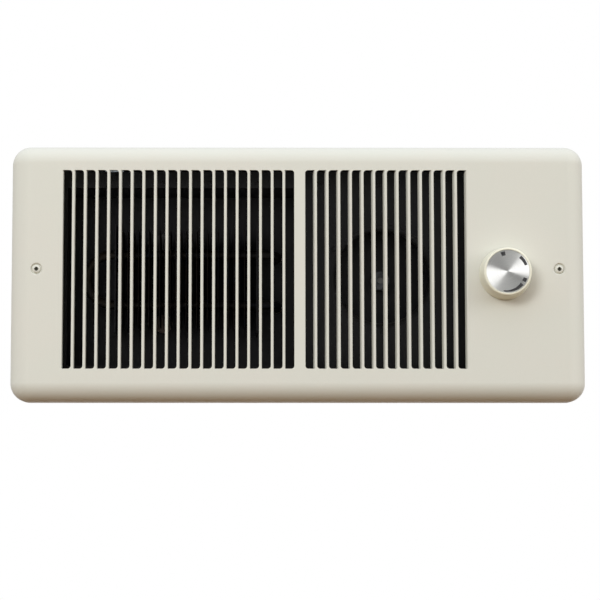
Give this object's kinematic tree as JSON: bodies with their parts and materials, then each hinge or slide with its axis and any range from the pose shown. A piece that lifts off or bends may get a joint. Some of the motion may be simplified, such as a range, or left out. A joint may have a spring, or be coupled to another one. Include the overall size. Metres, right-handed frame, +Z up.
{
  "type": "recessed wall fan heater",
  "caption": "Recessed bathroom wall fan heater: pressed steel front with two slotted banks and a thermostat knob, over a wall box with blower and finned element.",
  "frame": {"origin": "centre of the four wall screw holes, on the finished wall's surface", "axes": "+X to the right seen from the room, +Z up, -Y out of the wall into the room"},
  "size_m": [0.4874, 0.1418, 0.2186],
  "materials": {
    "enamelled_steel": "powder coat, fine texture",
    "knob_plastic": "satin moulding",
    "spun_aluminium": "spun, clear lacquer",
    "black_mark": "matt paint",
    "galvanised_steel": "galvanised spangle",
    "dark_steel": "matt black paint",
    "plated_steel": "zinc plated",
    "green_screw": "green dye over zinc",
    "black_plastic": "moulded phenolic",
    "brown_plastic": "moulded phenolic",
    "brass": "plain",
    "rotor_steel": "ground",
    "iron": "laminated, varnished",
    "copper": "enamelled wire",
    "nylon": "moulded",
    "cast_zinc": "die cast",
    "rubber": "matt",
    "element_steel": "heat blackened",
    "fin_steel": "heat blackened",
    "ceramic": "unglazed",
    "red_lead": "silicone insulation",
    "black_lead": "silicone insulation"
  },
  "bodies": {
    "root": {"front_cover": "enamelled_steel", "cover_screws": "enamelled_steel", "wall_box": "galvanised_steel", "box_ends": "galvanised_steel", "cover_posts": "plated_steel", "ground_screw": "green_screw", "terminal_block": "black_plastic", "terminal_screws": "brass", "heater_deck": "dark_steel", "heater_plenum": "dark_steel", "chassis_screws": "dark_steel", "wiring_divider": "galvanised_steel", "deck_rivets": "dark_steel", "scroll_case": "galvanised_steel", "inlet_ring": "dark_steel", "motor_core": "iron", "shading_rings": "copper", "motor_bobbin": "nylon", "motor_winding": "copper", "motor_front_bracket": "cast_zinc", "motor_rear_bracket": "cast_zinc", "motor_bearings": "brass", "motor_screws": "plated_steel", "motor_grommets": "rubber", "element_sheath": "element_steel", "element_fins": "fin_steel", "element_brackets": "dark_steel", "element_bushings": "ceramic", "element_pins": "plated_steel", "high_limit_switch": "black_plastic", "fan_delay_switch": "brown_plastic", "switch_screws": "plated_steel", "thermostat_body": "black_plastic", "thermostat_bushing": "brass", "thermostat_nut": "plated_steel", "thermostat_terminals": "brass", "thermostat_lead": "red_lead", "motor_lead": "black_lead", "element_lead": "red_lead", "return_lead": "black_lead"},
    "fan": {"wheel_rim": "dark_steel", "wheel_blades": "dark_steel", "wheel_disc": "dark_steel", "wheel_hub": "cast_zinc", "wheel_set_screw": "plated_steel", "motor_shaft": "plated_steel", "motor_rotor": "rotor_steel"},
    "knob": {"knob": "knob_plastic", "knob_insert": "spun_aluminium", "knob_pointer": "black_mark", "knob_clip": "plated_steel", "thermostat_shaft": "plated_steel"}
  },
  "joints": [
    {"name": "fan_spin", "type": "hinge", "parent": "root", "child": "fan", "pos_m": [0.0732, 0.065, 0], "axis": [0, 1, 0], "continuous": true},
    {"name": "knob_turn", "type": "hinge", "parent": "root", "child": "knob", "pos_m": [0.175, -0.025, -0.0015], "axis": [0, 1, 0], "range_deg": [-133, 167]}
  ]
}
